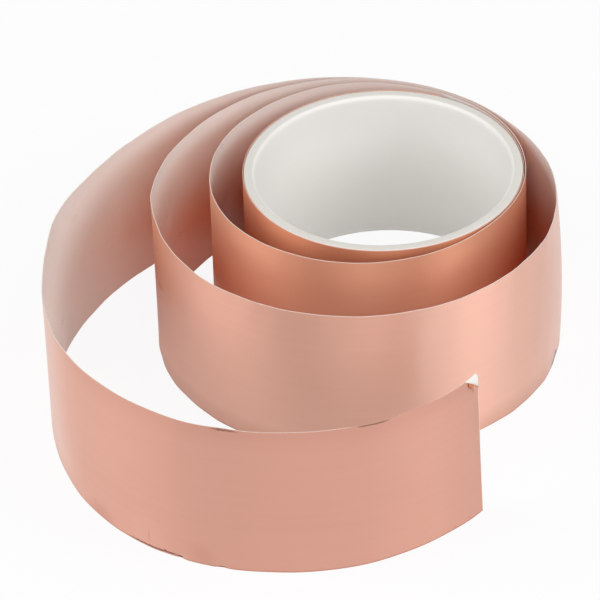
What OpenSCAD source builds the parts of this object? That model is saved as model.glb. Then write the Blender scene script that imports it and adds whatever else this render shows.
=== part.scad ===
// Roll of self-adhesive copper foil tape on a round core. Its outer turns have sprung loose.
// The tape is three strips, one behind the other: copper foil, adhesive film and paper liner.
// Millimetres. Z is up, along the core's axis, and the origin is the middle of the core's bore.

/* [Core] */
// Bore of the core, for a 3 inch spindle
bore_d = 76.2; // [75:0.1:77]
// Outside diameter of the core
core_d = 82.8; // [80:0.1:83]
// Rounding of the core's two inner edges
inner_round = 1.2; // [0.2:0.1:1.4]
// Rounding of the core's two outer edges
outer_round = 0.4; // [0.1:0.1:0.8]

/* [Tape] */
// Width of the tape, and length of the core that it was wound on
tape_w = 50; // [20:1:100]
// Thickness of the copper foil, the outer strip
foil_t = 0.05; // [0.03:0.01:0.07]
// Thickness of the adhesive film behind the foil
adhesive_t = 0.03; // [0.02:0.01:0.04]
// Thickness of the paper liner that covers the adhesive, the inner strip
liner_t = 0.12; // [0.08:0.01:0.13]

/* [Winding] */
// Bearing of the tape's free end, counter-clockwise from the X axis
end_bearing = -77; // [-180:1:180]
// Clear space between the core and the innermost turn
core_gap = 0.35; // [0.3:0.05:0.4]
// Degrees of the last, snug turn
snug_sweep = 310; // [180:5:330]

/* [Free end] */
// Length of the corner that the foil has lost, along the tape
corner_l = 6.4; // [1:0.1:8]
// Height of the corner that the foil has lost
corner_h = 5; // [1:0.1:8]
// How far the liner's loosened end stands off the adhesive
tab_lift = 0.05; // [0.02:0.01:0.1]

/* [Hidden] */
$fn = 96;

// How far the middle of the tape stands off the core, every 30 degrees from the free end inwards.
outer_loop = [63.3, 90.3, 84.5, 57.8, 35.2, 19.8, 9.7, 4.6, 2.9, 5.6, 11.9, 20.3];
middle_loop = [28.6, 33.1, 32.7, 28.3, 20.6, 14, 8.4, 3.6, 1.8, 1.2, 1.15, 1.6];
inner_loop = [4.3, 7.3, 9.6, 10.4, 9.3, 7.6, 5.6, 2.4, 0.8];
// One more value ahead of the free end. It only steers the direction that the end points in.
lead = -4;
hour = 30;

tape_t = foil_t + adhesive_t + liner_t;
snug = core_gap + tape_t / 2;
stand_off = concat([lead], outer_loop, middle_loop, inner_loop, [snug, snug, snug]);
// Degrees wound from the free end to the start of the snug turn, and to the tape's inner end.
loose_sweep = hour * (len(stand_off) - 4);
sweep = loose_sweep + snug_sweep;

// Each strip has a straight facet every few degrees.
step = 5;
last = sweep / step;
turn = 360 / step;

// Faces of the strips, counted outwards from the middle of the tape.
foil_out = tape_t / 2;
foil_in = foil_out - foil_t;
liner_out = foil_in - adhesive_t;
liner_in = liner_out - liner_t;

// Smooth curve through four evenly spaced values, from b at t = 0 to c at t = 1.
function smooth(a, b, c, d, t) =
    b + t * (c - a + t * (2 * a - 5 * b + 4 * c - d + t * (3 * b - a - 3 * c + d))) / 2;

// Stand-off of the tape after winding in by w degrees.
function stand_off_at(w) =
    let (k = floor(w / hour), t = w / hour - k)
    w >= loose_sweep
        ? snug
        : smooth(stand_off[k], stand_off[k + 1], stand_off[k + 2], stand_off[k + 3], t);

// Point on the middle of the tape after winding in by w degrees, clockwise seen from above.
function route_point(w) =
    (core_d / 2 + stand_off_at(w)) * [cos(end_bearing - w), sin(end_bearing - w)];

route = [for (i = [0:last]) route_point(i * step)];
runs = [for (i = [0:last]) route[min(i + 1, last)] - route[max(i - 1, 0)]];
outward = [for (run = runs) [-run.y, run.x] / norm(run)];

// Measured on the route's points: the least space between turns, and the length of the tape.
spacings = [for (i = [0:last]) for (j = [i + turn / 2:last]) norm(route[i] - route[j])];
lengths = [for (i = [1:last]) norm(route[i] - route[i - 1])];
function total(list) = list * [for (value = list) 1];
echo(least_gap = min(spacings) - tape_t, tape_length = total(lengths), turns = sweep / 360);

// Quarter circle about a corner's centre, from the given bearing, counter-clockwise.
function quarter(centre, r, from) =
    [for (a = [from:15:from + 90]) centre + r * [cos(a), sin(a)]];

// Section of the core's wall, as radius and height.
function core_wall() =
    let (in_r = bore_d / 2 + inner_round, out_r = core_d / 2 - outer_round)
    let (in_z = tape_w / 2 - inner_round, out_z = tape_w / 2 - outer_round)
    concat(
        quarter([in_r, -in_z], inner_round, 180),
        quarter([out_r, -out_z], outer_round, 270),
        quarter([out_r, out_z], outer_round, 0),
        quarter([in_r, in_z], inner_round, 90)
    );

// One unbroken strip along the route, between two faces, from one station to another.
module strip(inner, outer, first, final) {
    linear_extrude(tape_w, center = true)
        polygon(concat(
            [for (i = [first:final]) route[i] + outer * outward[i]],
            [for (i = [final:-1:first]) route[i] + inner * outward[i]]
        ));
}

// The top corner that is missing from the foil and its adhesive at the free end.
module lost_corner() {
    spare = 1;
    rise = corner_h / corner_l;
    top = tape_w / 2;
    translate(route[0])
        rotate(atan2(runs[0].y, runs[0].x))
            rotate([90, 0, 0])
                linear_extrude(2 * spare, center = true)
                    polygon([
                        [-spare, top - corner_h - rise * spare],
                        [corner_l + spare / rise, top + spare],
                        [-spare, top + spare]
                    ]);
}

module core() {
    color([0.88, 0.87, 0.84])
        rotate_extrude()
            polygon(core_wall());
}

module copper_foil() {
    color([0.85, 0.60, 0.50])
        difference() {
            strip(foil_in, foil_out, 0, last);
            lost_corner();
        }
}

module adhesive_film() {
    color([0.92, 0.88, 0.76])
        difference() {
            strip(liner_out, foil_in, 0, last);
            lost_corner();
        }
}

// The liner that is still stuck down. It stops where the loosened end begins.
module release_liner() {
    color([0.95, 0.94, 0.92])
        strip(liner_in, liner_out, 1, last);
}

// The loosened end of the liner, which peels back about its own inner face.
module liner_tab() {
    color([0.95, 0.94, 0.92])
        strip(liner_in - tab_lift, liner_out - tab_lift, 0, 1);
}

core();
copper_foil();
adhesive_film();
release_liner();
liner_tab();
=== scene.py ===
import math

import bpy
import numpy as np
from mathutils import Matrix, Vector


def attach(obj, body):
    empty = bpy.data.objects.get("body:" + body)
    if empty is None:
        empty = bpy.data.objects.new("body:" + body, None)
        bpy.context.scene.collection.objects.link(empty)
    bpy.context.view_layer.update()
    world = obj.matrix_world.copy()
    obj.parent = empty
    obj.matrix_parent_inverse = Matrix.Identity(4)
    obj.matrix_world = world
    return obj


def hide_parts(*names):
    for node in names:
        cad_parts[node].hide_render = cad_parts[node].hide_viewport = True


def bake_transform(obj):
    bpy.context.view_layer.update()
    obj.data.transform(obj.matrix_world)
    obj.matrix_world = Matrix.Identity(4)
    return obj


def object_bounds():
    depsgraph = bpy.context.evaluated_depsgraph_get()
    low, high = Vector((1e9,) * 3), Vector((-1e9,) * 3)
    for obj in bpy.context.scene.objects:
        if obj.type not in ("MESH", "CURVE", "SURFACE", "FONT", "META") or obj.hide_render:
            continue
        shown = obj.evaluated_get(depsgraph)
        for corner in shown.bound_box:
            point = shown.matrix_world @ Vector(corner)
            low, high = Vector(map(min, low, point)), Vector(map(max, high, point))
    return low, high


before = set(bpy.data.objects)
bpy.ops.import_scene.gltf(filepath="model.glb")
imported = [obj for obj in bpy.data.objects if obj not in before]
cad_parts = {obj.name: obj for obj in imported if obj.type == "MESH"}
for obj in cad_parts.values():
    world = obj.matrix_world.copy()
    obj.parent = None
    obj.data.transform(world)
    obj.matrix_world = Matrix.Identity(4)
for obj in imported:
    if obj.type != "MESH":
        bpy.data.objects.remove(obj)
CAD_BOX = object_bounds()

bl_info = {
    "name": "Copper Foil Tape Roll",
    "version": (1, 0, 0),
    "blender": (4, 5, 0),
    "location": "View3D > Sidebar > Tape Roll",
    "description": "Builds the looks of a loosened roll of copper foil tape around its solids",
    "category": "Object",
}

# Lengths are in metres. Places on the tape are given as degrees wound in from its free end, or as
# metres of tape from there, and as a height above half its width.
TAPE_UV = "TapeLength"
CORE_UV = "CoreWrap"
WHITE = (1.0, 1.0, 1.0)

# Stand-off of the tape's middle from the core, every HOUR degrees from the free end inwards.
HOUR = 30.0
OUTER_LOOP = (
    0.0633, 0.0903, 0.0845, 0.0578, 0.0352, 0.0198, 0.0097, 0.0046, 0.0029, 0.0056, 0.0119, 0.0203,
)
MIDDLE_LOOP = (
    0.0286, 0.0331, 0.0327, 0.0283, 0.0206, 0.014, 0.0084, 0.0036, 0.0018, 0.0012, 0.00115, 0.0016,
)
INNER_LOOP = (0.0043, 0.0073, 0.0096, 0.0104, 0.0093, 0.0076, 0.0056, 0.0024, 0.0008)
# One more value ahead of the free end. It only steers the direction that the end points in.
LEAD = -0.004
LOOSE_SWEEP = HOUR * (len(OUTER_LOOP) + len(MIDDLE_LOOP) + len(INNER_LOOP))
# Degrees of the liner's loosened end.
TAB_SWEEP = 5.0
# Degrees between the points that the tape's length is summed over.
FINE = 0.25
# Degrees that a range goes over its last step, so that it takes the step in.
OVER = 0.1

# Degrees wound in on the inner turns, and how far the tape stands out from its line there.
INNER_TURNS = (
    (600, -0.0001), (640, -0.00035), (680, -0.0002), (720, 0.0), (940, 0.0),
    (1000, -0.0002), (1060, 0.0), (1130, -0.0001), (1170, -0.0002),
)
# Degrees wound in, and how far the tape's top edge stands out from its line there.
TOP = (
    (0, 0.0), (9, 0.0), (25, 0.0006), (30, 0.0007), (36, 0.0009), (42, 0.0013), (50, 0.0014),
    (57, 0.0013), (63, 0.0010), (70, 0.0004), (76, -0.0001), (82, 0.0002), (88, 0.0010),
    (92, 0.0010), (97, 0.0005), (102, -0.0002), (108, -0.0008), (118, -0.0009), (140, -0.0008),
    (156, -0.0004), (172, -0.0003), (204, -0.0005), (236, -0.0002), (252, -0.0006), (270, -0.0005),
    (302, -0.0004), (312, -0.0002), (322, 0.0), (335, 0.0001), (373, 0.0004), (388, 0.0007),
    (405, 0.0008), (440, 0.0006), (455, 0.0009), (468, 0.0007), (500, 0.0005), (540, 0.0002),
    *INNER_TURNS,
)
# The same for the tape's foot.
FOOT = (
    (0, 0.0004), (2, 0.0001), (4, -0.0004), (7, -0.0006), (10, -0.0007), (15, -0.0005),
    (20, -0.0001), (25, 0.0002), (32, 0.0004), (36, 0.0008), (40, 0.0014), (44, 0.0018),
    (48, 0.0016), (52, 0.0012), (57, 0.0006), (60, 0.0), (63, -0.0005), (67, -0.0008),
    (71, -0.0008), (76, -0.0004), (86, 0.0005), (93, 0.0008), (100, 0.0006), (110, 0.0001),
    (120, -0.0002), (150, 0.0), (290, 0.0), (300, 0.0002), (318, 0.0002), (322, 0.0004),
    (326, 0.0006), (335, 0.0006), (350, 0.0003), (450, 0.0004), (540, 0.0),
    *INNER_TURNS,
)
# Degrees wound in, and how far the tape bellies out at half its height there.
BELLY = (
    (0, 0.0001), (60, 0.0002), (150, 0.0), (270, 0.0), (300, 0.0010), (335, 0.0007),
    (375, 0.0002), (450, 0.0),
)
# Degrees wound in, and how freely the tape can ripple there.
SLACK = (
    (0, 1.0), (120, 1.0), (180, 0.2), (240, 0.0), (300, 0.5), (330, 1.0), (500, 1.0), (570, 0.1),
    (700, 0.1), (750, 0.5), (860, 0.5), (930, 0.05), (960, 0.0),
)
# Degrees to either side that these tables are averaged over, which rounds off their corners.
SOFTENING = (-3.0, -1.5, 0.0, 1.5, 3.0)
# Ripples: height, degrees from crest to crest, waves over the width, phase, and share kept at
# half height.
RIPPLES = (
    (0.00012, 47.0, 0.6, 0.4, 0.5),
    (0.00008, 19.0, 0.0, 2.1, 0.1),
    (0.00005, 8.3, 1.3, 5.0, 0.2),
)
# Knocks: metres along the tape, height, half length, half height, and depth.
KNOCKS = (
    (0.0010, 0.0250, 0.0045, 0.0140, 0.0003),
    (0.0983, -0.0247, 0.0036, 0.0007, 0.0004),
    (0.0950, -0.0247, 0.0014, 0.0008, 0.0005),
    (0.0822, -0.0250, 0.0016, 0.0006, 0.0004),
    (0.0800, 0.0250, 0.0060, 0.0012, 0.0005),
    (0.0380, 0.0250, 0.0060, 0.0010, -0.0004),
    (0.4390, -0.0250, 0.0040, 0.0010, 0.0002),
)
# Metres along the tape, and how far the liner's top edge lies below its place there.
TUCK = (
    (0.0060, 0.0), (0.0085, 0.00012), (0.0300, 0.00012),
    (0.0340, 0.0004), (0.0410, 0.0004), (0.0450, 0.0),
)

# Cross lines of the strips: degrees wound in where a span begins and ends, and between its lines.
SPANS = (
    (0.0, 3.0, 0.08), (3.0, 12.0, 0.25), (12.0, 33.0, 0.75), (33.0, 48.0, 0.25),
    (48.0, 60.0, 0.75), (60.0, 300.0, 2.0), (300.0, 460.0, 1.25),
)
# Degrees between the cross lines after the last span.
LAST_SPACING = 2.5
# Long lines of the strips, as millimetres above half height on tape that is 50 mm wide.
LONG_LINES = (
    0, 3.5, 7, 10, 13, 15.5, 17.5, 19, 20, 20.6, 21.2, 21.8, 22.4, 23, 23.6, 24.1, 24.6, 25,
)

# How far the tape's upper corner falls short of the nominal end.
TOP_SHORT = 0.0003
# Share of the solids' lost corner that shows.
LOST_SHARE = 0.9
# How ragged the tear is.
RAGGED = 0.00018

# Scuffs and dirt, and painted shade in creases, under the torn foil's curled lip and along the
# outer turn's top edge: metres along the tape, height, half length, half height, turn in degrees,
# and strength.
SCUFFS_AND_SHADE = (
    (0.1050, -0.0244, 0.0110, 0.00035, -1.0, 0.80),
    (0.0985, -0.0242, 0.0036, 0.0004, -3.0, 0.85),
    (0.0950, -0.0244, 0.0013, 0.0005, -8.0, 0.95),
    (0.0998, -0.0237, 0.0007, 0.0004, 0.0, 0.60),
    (0.0822, -0.0247, 0.0015, 0.0003, 0.0, 0.80),
    (0.0110, -0.0240, 0.0005, 0.0003, 0.0, 0.50),
    (0.0052, -0.0238, 0.0004, 0.0003, 0.0, 0.45),
    (0.0800, 0.0245, 0.0050, 0.0004, 0.0, 0.60),
    (0.0375, 0.0249, 0.0056, 0.0007, 3.0, 0.65),
    (0.0412, 0.0247, 0.0018, 0.0004, 3.0, 0.40),
    (0.0013, 0.0209, 0.0013, 0.0003, 38.0, 0.45),
    (0.0026, 0.0201, 0.0002, 0.0010, 0.0, 0.60),
    (0.1052, -0.0208, 0.0002, 0.0034, 0.0, 0.20),
    (0.4402, -0.0243, 0.0056, 0.0010, 2.0, 0.95),
    (0.4408, -0.0233, 0.0036, 0.0011, -12.0, 0.80),
    (0.4396, -0.0225, 0.0022, 0.0010, 24.0, 0.60),
    (0.5975, 0.0040, 0.0045, 0.0016, -14.0, 0.22),
)
# Patches of painted shade, or of painted light where the strength is below zero. Rows as for the
# table above.
SHADE_AND_LIGHT_PATCHES = (
    (0.6100, -0.0040, 0.0280, 0.0450, 0.0, 0.36),
    (0.7850, 0.0, 0.0260, 0.0450, 0.0, 0.30),
    (0.1250, -0.0240, 0.0090, 0.0060, 0.0, 0.28),
    (0.1060, -0.0200, 0.0080, 0.0090, 0.0, -0.12),
    (0.0880, -0.0220, 0.0055, 0.0060, 0.0, 0.14),
)
# Creases that are pressed into the foil. Rows as for the tables above.
CREASES = (
    (0.5970, 0.0010, 0.0120, 0.0014, -12.0, 1.0),
    (0.1052, -0.0208, 0.0005, 0.0040, 0.0, 0.3),
    (0.1163, 0.0220, 0.0005, 0.0040, 0.0, 0.3),
)
# How soft the rims of these marks are, from 0, sharp, to 1.
SCUFF_AND_SHADE_RIM, SHADE_PATCH_RIM, CREASE_RIM = 0.6, 0.9, 1.0

# One finish goes over into the next between two places, as metres along the tape.
# On the foil: the handled outer turn ends, the inner turns begin, they come out of the narrow gap
# beside the core, and the snug turn begins.
HANDLED_ENDS = (0.128, 0.155)
INNER_BEGINS = (0.572, 0.612)
GAP_ENDS = (0.79, 0.82)
SNUG_BEGINS = (0.97, 1.08)
# On the liner: it has come loose up to here, it takes more and more painted copper-coloured bounce
# light, and then painted shade where it only sees other copper. The pairs are stretches where turns
# lie close together or gape.
LOOSE_ENDS = (0.195, 0.335)
FIRST_GLOW = (0.01, 0.10)
DEEP_BEGINS = (0.70, 0.90)
LAST_GLOW = (1.02, 1.08)
CLOSE_STRETCH = ((0.33, 0.38), (0.47, 0.53))
GAPING_STRETCH = ((0.56, 0.61), (0.68, 0.74))
# Heights over which finishes, painted shade and painted light change, counted from the tape's top
# edge or its foot.
FRAY = 0.0006
DARK_EDGE = (0.0, 0.0007)
SHADED = (0.0, 0.008)
LOWER_TINT_DEPTH = (0.006, 0.020)
WHITE_MARGIN = (0.003, 0.008)
GLOW_RISE = (0.010, 0.034)
# Distances from the core's two ends between which its skin gets a painted highlight, and greyer on
# the rim, partly dirt and partly painted shade.
ROUNDING_HIGHLIGHT = (0.0022, 0.0010)
GREY_RIM = (0.00012, 0.00003)

# Lamps: name, degrees to the right of the camera, degrees up, and length of a side.
LAMPS = (
    ("right", 61.0, 30.0, 1.0),
    ("left", -81.0, 31.0, 1.5),
    ("front", 0.0, 29.0, 1.2),
    ("high", 90.0, 55.0, 1.0),
)
LAMP_AWAY = 2.0
FLOOR_REACH = 12.0
# Share of plain white in the floor that the camera and the metal see, and the camera's extra share.
FLOOR_GLOW, CAMERA_GLOW = 0.6, 0.3
# Camera: place, radians that it looks down and is tilted, focal length and sensor in millimetres.
CAMERA_AT = (-0.02599, -1.45856, 1.04059)
LOOK_DOWN, TILT = 0.6295974, 0.0351130
LENS, SENSOR = 360.0, 36.0
FARTHEST = 100.0


class TapeSizes(bpy.types.PropertyGroup):
    """Sizes of the roll. All but the last two are the same as in its solids."""

    bore_d: bpy.props.FloatProperty(
        name="Bore", description="Bore of the core", default=0.0762, precision=4, unit="LENGTH")
    core_d: bpy.props.FloatProperty(
        name="Core", description="Outside diameter of the core",
        default=0.0828, precision=4, unit="LENGTH")
    inner_round: bpy.props.FloatProperty(
        name="Inner rounding", description="Rounding of the core's inner edges",
        default=0.0012, precision=4, unit="LENGTH")
    outer_round: bpy.props.FloatProperty(
        name="Outer rounding", description="Rounding of the core's outer edges",
        default=0.0004, precision=4, unit="LENGTH")
    tape_w: bpy.props.FloatProperty(
        name="Width", description="Width of the tape and the core",
        default=0.05, precision=4, unit="LENGTH")
    foil_t: bpy.props.FloatProperty(
        name="Foil", description="Thickness of the copper foil",
        default=0.00005, precision=5, unit="LENGTH")
    adhesive_t: bpy.props.FloatProperty(
        name="Adhesive", description="Thickness of the adhesive film",
        default=0.00003, precision=5, unit="LENGTH")
    liner_t: bpy.props.FloatProperty(
        name="Liner", description="Thickness of the paper liner",
        default=0.00012, precision=5, unit="LENGTH")
    core_gap: bpy.props.FloatProperty(
        name="Core gap", description="Clear space between the core and the innermost turn",
        default=0.00035, precision=5, unit="LENGTH")
    end_bearing: bpy.props.FloatProperty(
        name="Free end", description="Bearing of the tape's free end",
        default=math.radians(-77), subtype="ANGLE")
    snug_sweep: bpy.props.FloatProperty(
        name="Snug turn", description="Sweep of the last, snug turn",
        default=math.radians(310), subtype="ANGLE")
    corner_l: bpy.props.FloatProperty(
        name="Lost corner length", description="Length of the corner that the foil has lost",
        default=0.0064, precision=4, unit="LENGTH")
    corner_h: bpy.props.FloatProperty(
        name="Lost corner height", description="Height of the corner that the foil has lost",
        default=0.005, precision=4, unit="LENGTH")
    tab_lift: bpy.props.FloatProperty(
        name="Tab lift", description="How far the liner's loosened end stands off the adhesive",
        default=0.00005, precision=5, unit="LENGTH")
    liner_proud: bpy.props.FloatProperty(
        name="Liner edge", description="How far the liner's free end stands proud of the foil",
        default=0.0003, precision=5, unit="LENGTH")
    end_skew: bpy.props.FloatProperty(
        name="End skew", description="How much longer the tape is at its foot than at its top edge",
        default=0.0012, precision=4, unit="LENGTH")


class TapeColours(bpy.types.PropertyGroup):
    """Colours of the roll's finishes."""

    copper: bpy.props.FloatVectorProperty(
        name="Copper", description="Satin copper foil",
        default=(0.79, 0.465, 0.365), subtype="COLOR")
    # Painted light: the inner turns' copper is deeper in colour near their top edge.
    inner: bpy.props.FloatVectorProperty(
        name="Inner copper", description="Copper of the inner turns, which has kept its colour",
        default=(0.82, 0.455, 0.31), subtype="COLOR")
    # Painted light: the inner turns' copper is paler further below their top edge.
    painted_lower_tint: bpy.props.FloatVectorProperty(
        name="Sheltered copper", description="Copper of the inner turns, where no hand reaches",
        default=(0.825, 0.485, 0.34), subtype="COLOR")
    handled: bpy.props.FloatVectorProperty(
        name="Handled copper", description="Copper of the outer turn, dulled by handling",
        default=(0.67, 0.395, 0.315), subtype="COLOR")
    # Painted shade and painted copper-on-copper reflection, for the foil and the liner deep in the
    # roll.
    deep: bpy.props.FloatVectorProperty(
        name="Deep copper", description="Copper deep in the roll, where it only sees other copper",
        default=(0.80, 0.25, 0.10), subtype="COLOR")
    # Tarnish for the foil's tone and the thin dark line along its foot, and painted shade above the
    # foot of all but the outer turn and in patches. It also darkens the outer turn near its top
    # edge.
    tarnish_and_shade: bpy.props.FloatVectorProperty(
        name="Tarnish", description="Copper that has darkened along its foot",
        default=(0.45, 0.19, 0.12), subtype="COLOR")
    # Dirt and broken foil, and painted shade in creases, under the torn foil's lip and along the
    # outer turn's top edge.
    grime_and_shade: bpy.props.FloatVectorProperty(
        name="Grime", description="Dirt and broken foil in the scuffs",
        default=(0.16, 0.062, 0.036), subtype="COLOR")
    glued: bpy.props.FloatVectorProperty(
        name="Glued copper", description="Back of the foil, seen through its glue",
        default=(0.78, 0.21, 0.075), subtype="COLOR")
    adhesive: bpy.props.FloatVectorProperty(
        name="Adhesive", description="Film of glue",
        default=(0.82, 0.72, 0.55), subtype="COLOR")
    liner: bpy.props.FloatVectorProperty(
        name="Liner", description="Coated white paper",
        default=(0.92, 0.90, 0.87), subtype="COLOR")
    # Painted light: copper-coloured bounce light on the liner, not a colour of the paper.
    painted_copper_glow: bpy.props.FloatVectorProperty(
        name="Liner on foil", description="Thin paper, stuck down, that copper shines through",
        default=(0.99, 0.39, 0.215), subtype="COLOR")
    core: bpy.props.FloatVectorProperty(
        name="Core", description="Warm white moulded core",
        default=(0.895, 0.88, 0.85), subtype="COLOR")


class TapeStage(bpy.types.PropertyGroup):
    """Floor and light."""

    floor: bpy.props.FloatVectorProperty(
        name="Floor", description="Colour of the floor",
        default=(0.95, 0.95, 0.95), subtype="COLOR")
    sky: bpy.props.FloatProperty(
        name="Sky", description="Light from all round, which fills the shadows",
        default=0.36, min=0)
    right: bpy.props.FloatProperty(
        name="Right lamp", description="Power of the lamp at the right",
        default=12.5, min=0, unit="POWER")
    left: bpy.props.FloatProperty(
        name="Left lamp", description="Power of the lamp at the left",
        default=17.0, min=0, unit="POWER")
    front: bpy.props.FloatProperty(
        name="Front lamp", description="Power of the lamp below the camera",
        default=10.0, min=0, unit="POWER")
    high: bpy.props.FloatProperty(
        name="High lamp", description="Power of the high lamp at the right",
        default=4.5, min=0, unit="POWER")


class Wire:
    """An output of a node. Sums and products of wires and numbers add Math nodes."""

    def __init__(self, tree, socket):
        self.tree = tree
        self.socket = socket

    def maths(self, operation, first, second):
        """Adds a Math node."""
        return self.tree.node("ShaderNodeMath", {"operation": operation}, {0: first, 1: second})

    def __add__(self, other):
        return self.maths("ADD", self, other)

    __radd__ = __add__

    def __sub__(self, other):
        return self.maths("SUBTRACT", self, other)

    def __rsub__(self, other):
        return self.maths("SUBTRACT", other, self)

    def __mul__(self, other):
        return self.maths("MULTIPLY", self, other)

    __rmul__ = __mul__

    def __abs__(self):
        return self.maths("ABSOLUTE", self, 0.0)


def as_colour(value):
    """A colour of three numbers as a socket's four. A wire stays a wire."""
    return value if isinstance(value, Wire) else (*value, 1.0)


def sway(noise, amount):
    """Noise about zero, that amount from its lowest to its highest."""
    return (noise - 0.5) * amount


class NodeTree:
    """A material's or the world's nodes."""

    def __init__(self, owner):
        owner.use_nodes = True
        self.owner = owner
        self.nodes = owner.node_tree.nodes
        self.links = owner.node_tree.links
        self.nodes.clear()

    def node(self, kind, settings=None, inputs=None, output=0):
        """Adds a node, sets it, fills or links its sockets, and gives one of its outputs."""
        made = self.nodes.new(kind)
        for name, value in (settings or {}).items():
            setattr(made, name, value)
        for name, value in (inputs or {}).items():
            if isinstance(value, Wire):
                self.links.new(value.socket, made.inputs[name])
            else:
                made.inputs[name].default_value = value
        return Wire(self, made.outputs[output]) if made.outputs else made

    def map(self, name):
        """A point's place on one of the mesh's maps."""
        return self.node("ShaderNodeUVMap", {"uv_map": name})

    def part(self, vector, axis):
        """One of the three numbers in a vector."""
        return self.node("ShaderNodeSeparateXYZ", {}, {0: vector}, output=axis)

    def step(self, value, low, high):
        """0 below low, 1 above high, and a smooth rise between them."""
        return self.node(
            "ShaderNodeMapRange",
            {"interpolation_type": "SMOOTHSTEP"},
            {"Value": value, "From Min": low, "From Max": high},
        )

    def stretch(self, value, rise, fall):
        """1 between a smooth rise and a smooth fall, and 0 elsewhere."""
        return self.step(value, *rise) * (1.0 - self.step(value, *fall))

    def noise(self, place, lumps, detail=2.0):
        """Noise from 0 to 1, with so many lumps to a metre each way."""
        spread = self.node(
            "ShaderNodeVectorMath", {"operation": "MULTIPLY"}, {0: place, 1: lumps})
        return self.node(
            "ShaderNodeTexNoise", {}, {"Vector": spread, "Scale": 1.0, "Detail": detail})

    def mix(self, factor, first, second, blend="MIX"):
        """A colour that goes from the first to the second."""
        return self.node(
            "ShaderNodeMix",
            {"data_type": "RGBA", "blend_type": blend},
            {0: factor, 6: as_colour(first), 7: as_colour(second)},
            output=2,
        )

    def spots(self, place, marks, soft):
        """The sum of some ovals on the map, each as strong as its row says and soft at its rim."""
        total = 0.0
        for length, height, half_l, half_h, turn, strength in marks:
            turned = self.node(
                "ShaderNodeVectorRotate",
                {"rotation_type": "Z_AXIS"},
                {"Vector": place, "Center": (length, height, 0.0), "Angle": math.radians(-turn)},
            )
            scale = (1 / half_l, 1 / half_h, 0.0)
            shift = (-length / half_l, -height / half_h, 0.0)
            scaled = self.node(
                "ShaderNodeVectorMath",
                {"operation": "MULTIPLY_ADD"},
                {0: turned, 1: scale, 2: shift},
            )
            far = self.node(
                "ShaderNodeVectorMath", {"operation": "LENGTH"}, {0: scaled}, output="Value")
            total = total + (1.0 - self.step(far, 1.0 - soft, 1.0)) * strength
        return total

    def bump(self, height, distance, strength):
        """A relief that is that many metres deep."""
        return self.node(
            "ShaderNodeBump", {}, {"Height": height, "Distance": distance, "Strength": strength})

    def surface(self, **inputs):
        """The shader that everything on the roll has, and the material's output."""
        sockets = {name.replace("_", " "): value for name, value in inputs.items()}
        shader = self.node("ShaderNodeBsdfPrincipled", {}, sockets)
        self.node("ShaderNodeOutputMaterial", {}, {"Surface": shader})
        return self.owner


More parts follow.
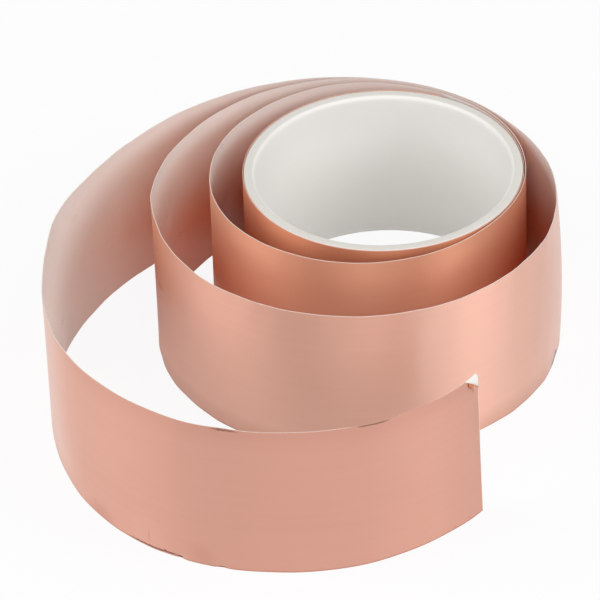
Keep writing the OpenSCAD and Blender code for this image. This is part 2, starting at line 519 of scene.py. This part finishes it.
def satin_copper(colours, sizes):
    """Rolled foil with fine lines along it and a cloudy tone.

    The outer turn is dulled by handling. The inner turns carry painted light in their colour, with
    painted shade deep in the roll and above the foot, and a thin dark line runs along the foot.
    Scuffs with painted shade in creases and by edges, patches of painted shade and light, and
    creases lie where the tables say.
    """
    tree = NodeTree(bpy.data.materials.new("satin_copper"))
    place = tree.map(TAPE_UV)
    length, height = tree.part(place, 0), tree.part(place, 1)
    lines = tree.noise(place, (30.0, 5200.0, 1.0), 3.0)
    bands = tree.noise(place, (6.0, 420.0, 1.0), 2.0)
    clouds = tree.noise(place, (26.0, 34.0, 1.0), 3.0)
    specks = tree.noise(place, (900.0, 1400.0, 1.0), 2.0)
    frayed = tree.node(
        "ShaderNodeVectorMath",
        {"operation": "MULTIPLY_ADD"},
        {0: specks - 0.5, 1: (FRAY, FRAY, 0.0), 2: place},
    )
    above_foot = sizes.tape_w / 2 + height + sway(specks, FRAY)
    below_top = sizes.tape_w / 2 - height
    edge = 1.0 - tree.step(above_foot, *DARK_EDGE)
    # Painted shade: on all but the outer turn the foil darkens within 8 mm of its foot.
    low = 1.0 - tree.step(above_foot, *SHADED)
    high = 1.0 - tree.step(below_top, *SHADED)
    handled = 1.0 - tree.step(length, *HANDLED_ENDS)
    inner = tree.step(length, *INNER_BEGINS)
    in_gap = inner * (1.0 - tree.step(length, *GAP_ENDS))
    # Painted shade: the foil in the narrow gap beside the core and on the snug turn goes towards
    # the deep colour.
    deep = tree.step(length, *SNUG_BEGINS) * 0.5 + in_gap * 0.42
    # Painted light: on the inner turns the copper goes from a deeper colour near the top edge to a
    # paler one lower down.
    painted_lower_tint = tree.mix(
        tree.step(below_top, *LOWER_TINT_DEPTH), colours.inner, colours.painted_lower_tint)
    clean = tree.mix(inner, colours.copper, painted_lower_tint)
    fresh = tree.mix(handled, clean, colours.handled)
    # Tone: random variation, darker near the outer turn's top edge, painted shade above the foot of
    # the other turns, and the patches of painted shade and light.
    tone = sway(lines, 0.10) + sway(bands, 0.08) + sway(clouds, 0.10) + high * handled * 0.12
    # The patches are painted shade, and painted light where their strength is below zero.
    tone = tone + low * (1.0 - handled) * 0.3 + tree.spots(frayed, SHADE_AND_LIGHT_PATCHES, SHADE_PATCH_RIM)
    toned = tree.mix(tone + 0.04, tree.mix(deep, fresh, colours.deep), colours.tarnish_and_shade)
    edged = tree.mix(edge * 0.5, toned, colours.tarnish_and_shade)
    # Scuffs and dirt, with painted shade in creases, under the torn foil's lip and along the outer
    # turn's top edge.
    scuffs_and_shade = tree.spots(frayed, SCUFFS_AND_SHADE, SCUFF_AND_SHADE_RIM)
    creases = tree.spots(place, CREASES, CREASE_RIM)
    dull = handled * 0.36 + sway(clouds, 0.08) + sway(lines, 0.06) + edge * 0.12
    relief = lines * 0.5 + bands * 0.3 + clouds * 0.2 - creases * 12.0
    return tree.surface(
        Base_Color=tree.mix(scuffs_and_shade, edged, colours.grime_and_shade),
        Metallic=1.0,
        Roughness=dull + 0.50,
        Anisotropic=0.8,
        Anisotropic_Rotation=0.25,
        Coat_Weight=0.8 - handled * 0.45 - inner * 0.45 - scuffs_and_shade * 0.35,
        Coat_Roughness=0.3,
        Coat_IOR=1.5,
        Normal=tree.bump(relief, 0.00002, 0.5),
    )


def glue_film(colours):
    """Glue, faintly yellow, with small bubbles."""
    tree = NodeTree(bpy.data.materials.new("glue_film"))
    place = tree.map(TAPE_UV)
    bubbles = tree.noise(place, (700.0, 700.0, 1.0), 2.0)
    patches = tree.noise(place, (60.0, 60.0, 1.0), 2.0)
    deeper = tuple(0.8 * value for value in colours.adhesive)
    return tree.surface(
        Base_Color=tree.mix(bubbles * 0.5 + patches * 0.5, colours.adhesive, deeper),
        Roughness=0.25 + patches * 0.2,
        Normal=tree.bump(bubbles, 0.00002, 0.4),
    )


def glued_copper(colours):
    """Back of the foil under its glue: deep orange, glossy, a little patchy."""
    tree = NodeTree(bpy.data.materials.new("glued_copper"))
    patches = tree.noise(tree.map(TAPE_UV), (1600.0, 1600.0, 1.0), 3.0)
    deeper = tuple(0.75 * value for value in colours.glued)
    return tree.surface(
        Base_Color=tree.mix(patches, colours.glued, deeper),
        Metallic=0.4,
        Roughness=0.3 + patches * 0.25,
        Normal=tree.bump(patches, 0.00003, 0.4),
    )


def liner_paper(colours, sizes):
    """Coated release paper with fine fibres.

    It is white where it has come loose and along its top edge. Further down, and deeper in the
    roll, it is painted with copper-coloured bounce light, and with painted shade where it only sees
    other copper.
    """
    tree = NodeTree(bpy.data.materials.new("liner_paper"))
    place = tree.map(TAPE_UV)
    length, height = tree.part(place, 0), tree.part(place, 1)
    fibres = tree.noise(place, (1500.0, 4200.0, 1.0), 4.0)
    clouds = tree.noise(place, (70.0, 90.0, 1.0), 3.0)
    below_top = sizes.tape_w / 2 - height
    loose = 1.0 - tree.step(length, *LOOSE_ENDS)
    deep = tree.step(length, *DEEP_BEGINS)
    close = tree.stretch(length, *CLOSE_STRETCH) * 0.4 + deep
    gaping = tree.stretch(length, *GAPING_STRETCH)
    # Painted light: the copper-coloured glow grows with depth below the top edge, sooner where
    # turns lie close, and is weaker where the liner is loose or turns gape. Deep in the roll it
    # turns to painted shade.
    sunk = tree.step(below_top + sway(clouds, 0.003) + close * 0.004, *GLOW_RISE)
    inside = tree.step(below_top + sway(clouds, 0.002), *WHITE_MARGIN)
    stuck = (sunk * 0.9 + inside * 0.12) * (1.0 - 0.92 * loose - 0.15 * gaping)
    painted_glow = stuck + tree.step(length, *FIRST_GLOW) * 0.06 + tree.step(length, *LAST_GLOW) * 0.5
    paper = tree.mix(painted_glow, colours.liner, tree.mix(deep, colours.painted_copper_glow, colours.deep))
    return tree.surface(
        Base_Color=tree.mix(fibres * 0.5 + clouds * 0.5, paper, (0.92, 0.91, 0.90), "MULTIPLY"),
        Roughness=0.30 + sway(clouds, 0.12) + sway(fibres, 0.1),
        Specular_IOR_Level=0.35,
        Normal=tree.bump(fibres, 0.00003, 0.35),
    )


def white_core(colours, sizes):
    """Moulded tube: satin skin, fine turning marks, a painted highlight on its roundings, and rims
    greyer, partly with dirt and partly with painted shade.
    """
    tree = NodeTree(bpy.data.materials.new("white_core"))
    place = tree.map(CORE_UV)
    round_lines = tree.noise(place, (12.0, 2600.0, 1.0), 3.0)
    grain = tree.noise(place, (1800.0, 1800.0, 1.0), 3.0)
    clouds = tree.noise(place, (35.0, 50.0, 1.0), 3.0)
    greyer = (0.86 * colours.core[0], 0.845 * colours.core[1], 0.81 * colours.core[2])
    painted_highlight = tuple(1.06 * value for value in colours.core)
    off_middle = abs(tree.part(tree.node("ShaderNodeTexCoord", output="Object"), 2))
    # Painted highlight near the core's ends, and on its flat rim a greyer colour that is partly
    # dirt and partly painted shade.
    highlit_rounding = tree.step(off_middle, *(sizes.tape_w / 2 - off for off in ROUNDING_HIGHLIGHT))
    rim = tree.step(off_middle, *(sizes.tape_w / 2 - off for off in GREY_RIM))
    skin = tree.mix(highlit_rounding, colours.core, painted_highlight)
    dirt_and_shade = round_lines * 0.2 + grain * 0.15 + clouds * 0.2 + rim * 0.8 - 0.12
    return tree.surface(
        Base_Color=tree.mix(dirt_and_shade, skin, greyer),
        Roughness=0.46 + sway(clouds, 0.14) + sway(grain, 0.1),
        Normal=tree.bump(grain * 0.7 + round_lines * 0.3, 0.00004, 0.35),
    )


class Winding:
    """The line that the tape follows, and how its springy strip stands on that line."""

    def __init__(self, sizes):
        self.sizes = sizes
        thickness = sizes.foil_t + sizes.adhesive_t + sizes.liner_t
        snug = sizes.core_gap + thickness / 2
        self.knots = np.array([LEAD, *OUTER_LOOP, *MIDDLE_LOOP, *INNER_LOOP, snug, snug, snug])
        self.snug = snug
        self.sweep = LOOSE_SWEEP + math.degrees(sizes.snug_sweep)
        self.foil_out = thickness / 2
        self.foil_in = self.foil_out - sizes.foil_t
        self.liner_out = self.foil_in - sizes.adhesive_t
        self.liner_in = self.liner_out - sizes.liner_t
        self.fine = np.arange(0.0, self.sweep + OVER, FINE)
        steps = np.linalg.norm(np.diff(self.curve(self.fine), axis=0), axis=1)
        self.lengths = np.concatenate([[0.0], np.cumsum(steps)])
        self.pace = self.lengths[1] / self.fine[1]

    def stand_off(self, wound):
        """How far the tape's middle stands off the core after winding in by some degrees."""
        place = np.clip(wound, 0.0, LOOSE_SWEEP - 1e-6) / HOUR
        k = np.floor(place).astype(int)
        t = place - k
        a, b, c, d = (self.knots[k + n] for n in range(4))
        bend = 2 * a - 5 * b + 4 * c - d + t * (3 * b - a - 3 * c + d)
        curve = b + t * (c - a + t * bend) / 2
        return np.where(wound >= LOOSE_SWEEP, self.snug, curve)

    def curve(self, wound):
        """Points on the middle of the tape, seen from above."""
        bearing = self.sizes.end_bearing - np.radians(wound)
        radius = self.sizes.core_d / 2 + self.stand_off(wound)
        return np.stack([radius * np.cos(bearing), radius * np.sin(bearing)], axis=-1)

    def line(self, wound):
        """The same points, going straight on where the tape reaches past its nominal end."""
        slope = (self.curve(np.array(FINE)) - self.curve(np.array(0.0))) / FINE
        return self.curve(np.maximum(wound, 0.0)) + np.minimum(wound, 0.0)[..., None] * slope

    def outward(self, wound):
        """Directions away from the core's side, square to the tape."""
        reach = 0.5
        run = self.line(np.minimum(wound + reach, self.sweep)) - self.line(wound - reach)
        run /= np.linalg.norm(run, axis=-1, keepdims=True)
        return np.stack([-run[..., 1], run[..., 0]], axis=-1)

    def length(self, wound):
        """Metres of tape from the free end."""
        return np.interp(wound, self.fine, self.lengths) + np.minimum(wound, 0.0) * self.pace

    def wound(self, length):
        """Degrees wound in after some metres of tape."""
        return np.interp(length, self.lengths, self.fine) + np.minimum(length, 0.0) / self.pace

    def spring(self, wound, height):
        """How far the tape stands out from its line: lean, belly, ripples and knocks."""
        share = height / self.sizes.tape_w
        near_edge = 4 * share * share
        top, foot = between(wound, TOP), between(wound, FOOT)
        out = foot + (top - foot) * (share + 0.5) + between(wound, BELLY) * (1 - near_edge)
        slack = between(wound, SLACK)
        for tall, spacing, waves, phase, kept in RIPPLES:
            turn = 2 * math.pi * (wound / spacing + waves * share) + phase
            out = out + slack * tall * np.sin(turn) * (kept + (1 - kept) * near_edge)
        along = self.length(wound)
        for metres, at, half_l, half_h, depth in KNOCKS:
            far = ((along - metres) / half_l) ** 2 + ((height - at) / half_h) ** 2
            out = out - depth * np.exp(-far)
        return out

    def place(self, wound, height, depth):
        """Points in space at that depth, outwards from the tape's middle."""
        out = self.spring(wound, height) + depth
        flat = self.line(wound) + self.outward(wound) * out[..., None]
        return np.concatenate([flat, height[..., None]], axis=-1)


def between(value, table):
    """Reads a table of places and amounts, with its corners rounded off."""
    places, amounts = zip(*table)
    return sum(np.interp(value + shift, places, amounts) for shift in SOFTENING) / len(SOFTENING)


def stations(winding):
    """Degrees wound in of the strips' cross lines, closest where the tape shows most."""
    lines = [np.arange(*span) for span in SPANS]
    lines.append(np.arange(SPANS[-1][1], winding.sweep + OVER, LAST_SPACING))
    return np.concatenate(lines)


def rows(sizes):
    """Heights of the strips' long lines, closest near the edges."""
    upper = np.array(LONG_LINES) / LONG_LINES[-1] * sizes.tape_w / 2
    return np.concatenate([-upper[:0:-1], upper])


def square_end(sizes, height):
    """Where the tape ends at each height, as metres of tape. It is a little longer at its foot."""
    return TOP_SHORT - sizes.end_skew * (0.5 - height / sizes.tape_w) ** 2


def torn_end(sizes, height):
    """Where the foil ends at each height: with the tape, or further back at its lost corner."""
    depth, reach = LOST_SHARE * sizes.corner_h, LOST_SHARE * sizes.corner_l
    above = np.clip((height - (sizes.tape_w / 2 - depth)) / depth, 0.0, 1.0)
    ragged = RAGGED * np.sin(above * 17.0) * above * (1.2 - above)
    return square_end(sizes, height) + reach * above ** 1.06 + ragged


def torn_edge(sizes, past):
    """How high the foil reaches at some metres from the tape's end."""
    depth, reach = LOST_SHARE * sizes.corner_h, LOST_SHARE * sizes.corner_l
    return sizes.tape_w / 2 - depth * (1 - np.clip(past / reach, 0.0, 1.0) ** 0.94)


def paper_end(sizes, height):
    """Where the liner ends at each height: just past the foil, with a softened upper corner."""
    corner_back, corner_down = 0.0008, 0.0009
    below = sizes.tape_w / 2 - height
    softened = corner_back * np.exp(-((below / corner_down) ** 2))
    return square_end(sizes, height) - sizes.liner_proud + softened


def tucked(winding, wound, height):
    """Heights on the liner, drawn in towards its foot where its top edge lies low."""
    places, drops = zip(*TUCK)
    drop = np.interp(winding.length(wound), places, drops)
    return height - drop * (height / winding.sizes.tape_w + 0.5)


def ended(winding, wound, end):
    """Moves the first cross lines so that the strip begins where it ends in the real tape."""
    reach = 12.0
    first = winding.wound(end)
    return np.where(wound < reach, first + wound * (1 - first / reach), wound)


def lifted(sizes, along, height):
    """How far the torn foil's tongue stands off the liner, beside its lost corner."""
    tallest, tongue_h, tongue_l, cut = 0.0008, 0.0020, 0.0023, 0.00025
    past = along - square_end(sizes, height)
    hold = np.clip((torn_edge(sizes, past) - height) / tongue_h, 0.0, 1.0)
    side = np.clip((past - tongue_l) / cut, 0.0, 1.0)
    near = np.clip((past + 0.0002) / 0.0016, 0.0, 1.0)
    return tallest * (1 - hold) ** 2 * (1 - side) * (0.35 + 0.65 * near)


def strip_mesh(name, outer, inner, along):
    """A closed strip between two grids of points, with the tape's length and height as its map."""
    count, high = outer.shape[:2]
    points = np.concatenate([outer.reshape(-1, 3), inner.reshape(-1, 3)])
    front = np.arange(count * high).reshape(count, high)
    back = front + count * high
    faces = []

    def sheet(grid):
        quads = [grid[:-1, :-1], grid[:-1, 1:], grid[1:, 1:], grid[1:, :-1]]
        faces.append(np.stack(quads, axis=-1).reshape(-1, 4))

    sheet(front)
    sheet(back[:, ::-1])
    sheet(np.stack([front[:, -1], back[:, -1]], axis=1))
    sheet(np.stack([back[:, 0], front[:, 0]], axis=1))
    sheet(np.stack([back[0], front[0]], axis=0))
    sheet(np.stack([front[-1], back[-1]], axis=0))
    flat = np.stack([along, outer[..., 2]], axis=-1).reshape(-1, 2)
    flat = np.concatenate([flat, flat])
    return mesh_object(name, points, np.concatenate(faces), TAPE_UV, flat)


def mesh_object(name, points, faces, map_name, flat):
    """A smooth-shaded object with sharp edges kept sharp."""
    mesh = bpy.data.meshes.new(name)
    mesh.from_pydata(points.tolist(), [], faces.tolist())
    layer = mesh.uv_layers.new(name=map_name)
    layer.data.foreach_set("uv", flat[np.asarray(faces).ravel()].astype(np.float32).ravel())
    mesh.shade_smooth()
    mesh.set_sharp_from_angle(angle=math.radians(40))
    mesh.validate()
    made = bpy.data.objects.new(name, mesh)
    bpy.context.scene.collection.objects.link(made)
    return made


def finish_piece(piece, material, body=None):
    """Gives a piece its material and its slot, and its body where it rides on one."""
    piece.data.materials.append(material)
    if body:
        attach(piece, body)


def core_wall(sizes):
    """Section of the core's wall, as radius and height, with its four edges rounded."""
    half = sizes.tape_w / 2
    inner, outer = sizes.bore_d / 2, sizes.core_d / 2
    corners = (
        (inner + sizes.inner_round, -half + sizes.inner_round, sizes.inner_round, 180),
        (outer - sizes.outer_round, -half + sizes.outer_round, sizes.outer_round, 270),
        (outer - sizes.outer_round, half - sizes.outer_round, sizes.outer_round, 0),
        (inner + sizes.inner_round, half - sizes.inner_round, sizes.inner_round, 90),
    )
    section = []
    for x, z, r, first in corners:
        for angle in np.radians(np.linspace(first, first + 90, 9)):
            section.append((x + r * math.cos(angle), z + r * math.sin(angle)))
    return np.array(section)


def subdivided(section, longest):
    """Adds points to a closed section where its straight runs are long."""
    out = []
    for first, last in zip(section, np.roll(section, -1, axis=0)):
        parts = max(1, math.ceil(np.linalg.norm(last - first) / longest))
        out += [first + (last - first) * n / parts for n in range(parts)]
    return np.array(out)


class TAPE_OT_core(bpy.types.Operator):
    """Turns the core from its wall's section"""

    bl_idname = "tape_roll.core"
    bl_label = "Core"

    def execute(self, context):
        sizes = context.scene.tape_sizes
        sides, longest = 192, 0.004
        section = subdivided(core_wall(sizes), longest)
        turn = np.linspace(0, 2 * math.pi, sides, endpoint=False)
        bearing, radius = np.meshgrid(turn, section[:, 0], indexing="ij")
        height = np.broadcast_to(section[:, 1], radius.shape)
        points = np.stack([radius * np.cos(bearing), radius * np.sin(bearing), height], axis=-1)
        grid = np.arange(radius.size).reshape(radius.shape)
        right, up = np.roll(grid, -1, axis=0), np.roll(grid, -1, axis=1)
        both = np.roll(right, -1, axis=1)
        faces = np.stack([grid, right, both, up], axis=-1).reshape(-1, 4)
        runs = np.linalg.norm(np.roll(section, -1, axis=0) - section, axis=1)
        girth = np.concatenate([[0.0], np.cumsum(runs)[:-1]])
        wrap = np.stack(
            [bearing * (sizes.core_d / 2), np.broadcast_to(girth, radius.shape)], axis=-1)
        piece = mesh_object(
            "core_tube", points.reshape(-1, 3), faces, CORE_UV, wrap.reshape(-1, 2))
        finish_piece(piece, white_core(context.scene.tape_colours, sizes), "spool")
        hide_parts("core")
        return {"FINISHED"}


class TAPE_OT_foil(bpy.types.Operator):
    """Winds the copper foil and the adhesive film behind it, both without their lost corner"""

    bl_idname = "tape_roll.foil"
    bl_label = "Foil and adhesive"

    def execute(self, context):
        winding = Winding(context.scene.tape_sizes)
        sizes = winding.sizes
        wound, height = np.meshgrid(stations(winding), rows(sizes), indexing="ij")
        # The liner's top edge stands a hair above the foil's, a little more on the inner turns.
        rise = np.clip((winding.length(wound) - 0.10) / 0.05, 0.0, 1.0)
        height = height - (0.00002 + 0.00006 * rise) * (height / sizes.tape_w + 0.5)
        wound = ended(winding, wound, torn_end(sizes, height))
        along = winding.length(wound)
        lift = lifted(sizes, along, height)
        outer, middle, inner = (
            winding.place(wound, height, lift + depth)
            for depth in (winding.foil_out, winding.foil_in, winding.liner_out)
        )
        foil = strip_mesh("copper_strip", outer, middle, along)
        copper = satin_copper(context.scene.tape_colours, sizes)
        finish_piece(foil, copper, "tape_coil")
        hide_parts("copper_foil")
        film = strip_mesh("adhesive_strip", middle, inner, along)
        finish_piece(film, glue_film(context.scene.tape_colours), "tape_coil")
        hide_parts("adhesive_film")
        return {"FINISHED"}


class TAPE_OT_fold(bpy.types.Operator):
    """Folds a scrap of foil over beside the lost corner, with its glued back showing"""

    bl_idname = "tape_roll.fold"
    bl_label = "Folded scrap"

    def execute(self, context):
        winding = Winding(context.scene.tape_sizes)
        sizes = winding.sizes
        scrap_t = sizes.foil_t + sizes.adhesive_t
        # Where the scrap begins and how long, how far it overlaps the foil and hangs down, the
        # radius of its fold, how far its hem stands out, and the share of it that is rolled.
        begin, width, overlap, drop = 0.0026, 0.0019, 0.0003, 0.0013
        bend, stand_out, rolled = 0.00008, 0.00003, 0.4
        past, path = np.meshgrid(
            np.linspace(begin, begin + width, 9), np.linspace(0.0, 1.0, 15), indexing="ij")
        along = past + square_end(sizes, np.array(sizes.tape_w / 2))
        roll = np.clip(path / rolled, 0.0, 1.0) * math.pi
        hang = np.clip((path - rolled) / (1 - rolled), 0.0, 1.0)
        taper = 1 - 0.35 * ((past - begin) / width) ** 2
        edge = torn_edge(sizes, past)
        height = edge - overlap + bend * np.sin(roll) - hang * drop * taper
        depth = winding.foil_out + bend * (1 - np.cos(roll)) + stand_out * hang
        wound = winding.wound(along)
        lean_out = np.sin(roll) * (hang == 0)
        side_out = np.where(hang > 0, 1.0, -np.cos(roll))
        scrap = strip_mesh(
            "folded_scrap",
            winding.place(wound, height + scrap_t * lean_out, depth + scrap_t * side_out),
            winding.place(wound, height, depth),
            along,
        )
        finish_piece(scrap, glued_copper(context.scene.tape_colours), "tape_coil")
        return {"FINISHED"}


class TAPE_OT_liner(bpy.types.Operator):
    """Winds the paper liner, and its loosened end that peels back"""

    bl_idname = "tape_roll.liner"
    bl_label = "Liner"

    def execute(self, context):
        winding = Winding(context.scene.tape_sizes)
        sizes = winding.sizes
        paper = liner_paper(context.scene.tape_colours, sizes)
        lines = stations(winding)
        stuck, height = np.meshgrid(lines[lines >= TAB_SWEEP], rows(sizes), indexing="ij")
        height = tucked(winding, stuck, height)
        liner = strip_mesh(
            "liner_strip",
            winding.place(stuck, height, np.full_like(stuck, winding.liner_out)),
            winding.place(stuck, height, np.full_like(stuck, winding.liner_in)),
            winding.length(stuck),
        )
        finish_piece(liner, paper, "tape_coil")
        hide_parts("release_liner")
        loose, height = np.meshgrid(lines[lines <= TAB_SWEEP], rows(sizes), indexing="ij")
        first = winding.wound(paper_end(sizes, height))
        loose = first + loose * (1 - first / TAB_SWEEP)
        height = tucked(winding, loose, height)
        lift = sizes.tab_lift * (1 - loose / TAB_SWEEP)
        tab = strip_mesh(
            "liner_end",
            winding.place(loose, height, winding.liner_out - lift),
            winding.place(loose, height, winding.liner_in - lift),
            winding.length(loose),
        )
        finish_piece(tab, paper)
        fold = winding.line(np.array(TAB_SWEEP))
        free = winding.line(np.array(TAB_SWEEP / 2))
        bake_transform(tab)
        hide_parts("liner_tab")
        return {"FINISHED"}


def background_rays(tree):
    """1 for the rays that show the background: to the camera, by reflection, and through glass."""
    camera = tree.node("ShaderNodeLightPath", output="Is Camera Ray")
    glossy = tree.node("ShaderNodeLightPath", output="Is Glossy Ray")
    through = tree.node("ShaderNodeLightPath", output="Is Transmission Ray")
    return camera.maths("MAXIMUM", camera.maths("MAXIMUM", camera, glossy), through)


def lay_floor(scene, stage):
    """A wide pale floor under the roll. The camera and the metal see its shadow softened."""
    sides = ((-1, -1), (1, -1), (1, 1), (-1, 1))
    corners = [(x * FLOOR_REACH, y * FLOOR_REACH, CAD_BOX[0].z) for x, y in sides]
    mesh = bpy.data.meshes.new("floor")
    mesh.from_pydata(corners, [], [(0, 1, 2, 3)])
    floor = bpy.data.objects.new("floor", mesh)
    scene.collection.objects.link(floor)
    tree = NodeTree(bpy.data.materials.new("floor_paper"))
    camera = tree.node("ShaderNodeLightPath", output="Is Camera Ray")
    share = background_rays(tree) * FLOOR_GLOW + camera * CAMERA_GLOW
    lit = tree.node("ShaderNodeBsdfDiffuse", {}, {"Color": as_colour(stage.floor)})
    glow = tree.node("ShaderNodeEmission", {}, {"Color": as_colour(WHITE), "Strength": 1.0})
    blend = tree.node("ShaderNodeMixShader", {}, {0: share, 1: lit, 2: glow})
    tree.node("ShaderNodeOutputMaterial", {}, {"Surface": blend})
    mesh.materials.append(tree.owner)


def light_sky(scene, stage):
    """Even light from all round. The camera and the metal see it as white."""
    scene.world = bpy.data.worlds.new("studio")
    tree = NodeTree(scene.world)
    strength = background_rays(tree) * (1.0 - stage.sky) + stage.sky
    sky = tree.node(
        "ShaderNodeBackground", {}, {"Color": as_colour(WHITE), "Strength": strength})
    tree.node("ShaderNodeOutputWorld", {}, {"Surface": sky})


def add_lamp(scene, name, azimuth, elevation, size, power):
    """A large soft square lamp that points at the roll, some degrees to the right and up."""
    azimuth, elevation = math.radians(azimuth), math.radians(elevation)
    data = bpy.data.lights.new(name, "AREA")
    data.size = size
    data.energy = power
    lamp = bpy.data.objects.new(name, data)
    scene.collection.objects.link(lamp)
    lamp.location = (
        LAMP_AWAY * math.cos(elevation) * math.sin(azimuth),
        -LAMP_AWAY * math.cos(elevation) * math.cos(azimuth),
        LAMP_AWAY * math.sin(elevation),
    )
    lamp.visible_camera = False
    lamp.rotation_mode = "QUATERNION"
    lamp.rotation_quaternion = (-lamp.location).to_track_quat("-Z", "Y")


def add_camera(scene):
    """A long lens at the photograph's viewing angle, tilted a little."""
    data = bpy.data.cameras.new("camera")
    data.lens = LENS
    data.sensor_width = SENSOR
    data.clip_end = FARTHEST
    camera = bpy.data.objects.new("camera", data)
    scene.collection.objects.link(camera)
    right = np.array([1.0, 0.0, 0.0])
    up = np.array([0.0, math.sin(LOOK_DOWN), math.cos(LOOK_DOWN)])
    back = np.array([0.0, -math.cos(LOOK_DOWN), math.sin(LOOK_DOWN)])
    side = math.cos(TILT) * right - math.sin(TILT) * up
    top = math.sin(TILT) * right + math.cos(TILT) * up
    turn = Matrix(np.stack([side, top, back], axis=1).tolist()).to_4x4()
    turn.translation = CAMERA_AT
    camera.matrix_world = turn
    scene.camera = camera


class TAPE_OT_stage(bpy.types.Operator):
    """Lays the floor and sets the light and the camera"""

    bl_idname = "tape_roll.stage"
    bl_label = "Stage"

    def execute(self, context):
        scene, stage = context.scene, context.scene.tape_stage
        lay_floor(scene, stage)
        light_sky(scene, stage)
        for name, azimuth, elevation, size in LAMPS:
            add_lamp(scene, name + "_lamp", azimuth, elevation, size, getattr(stage, name))
        add_camera(scene)
        scene.view_settings.view_transform = "Standard"
        return {"FINISHED"}


class TAPE_PT_panel(bpy.types.Panel):
    """Lists the roll's pieces and the values that shape them"""

    bl_idname = "TAPE_PT_panel"
    bl_label = "Tape Roll"
    bl_space_type = "VIEW_3D"
    bl_region_type = "UI"
    bl_category = "Tape Roll"

    def draw(self, context):
        scene = context.scene
        for group in (scene.tape_sizes, scene.tape_colours, scene.tape_stage):
            box = self.layout.box()
            for name in group.bl_rna.properties.keys():
                if name not in ("rna_type", "name"):
                    box.prop(group, name)
        for operator in OPERATORS:
            self.layout.operator(operator.bl_idname)


OPERATORS = (TAPE_OT_core, TAPE_OT_foil, TAPE_OT_fold, TAPE_OT_liner, TAPE_OT_stage)
CLASSES = (TapeSizes, TapeColours, TapeStage, *OPERATORS, TAPE_PT_panel)


def register():
    for cls in CLASSES:
        bpy.utils.register_class(cls)
    bpy.types.Scene.tape_sizes = bpy.props.PointerProperty(type=TapeSizes)
    bpy.types.Scene.tape_colours = bpy.props.PointerProperty(type=TapeColours)
    bpy.types.Scene.tape_stage = bpy.props.PointerProperty(type=TapeStage)


def unregister():
    del bpy.types.Scene.tape_stage
    del bpy.types.Scene.tape_colours
    del bpy.types.Scene.tape_sizes
    for cls in reversed(CLASSES):
        bpy.utils.unregister_class(cls)


def main():
    """Builds every piece and the stage."""
    register()
    bpy.ops.tape_roll.core()
    bpy.ops.tape_roll.foil()
    bpy.ops.tape_roll.fold()
    bpy.ops.tape_roll.liner()
    bpy.ops.tape_roll.stage()


if __name__ == "__main__":
    main()
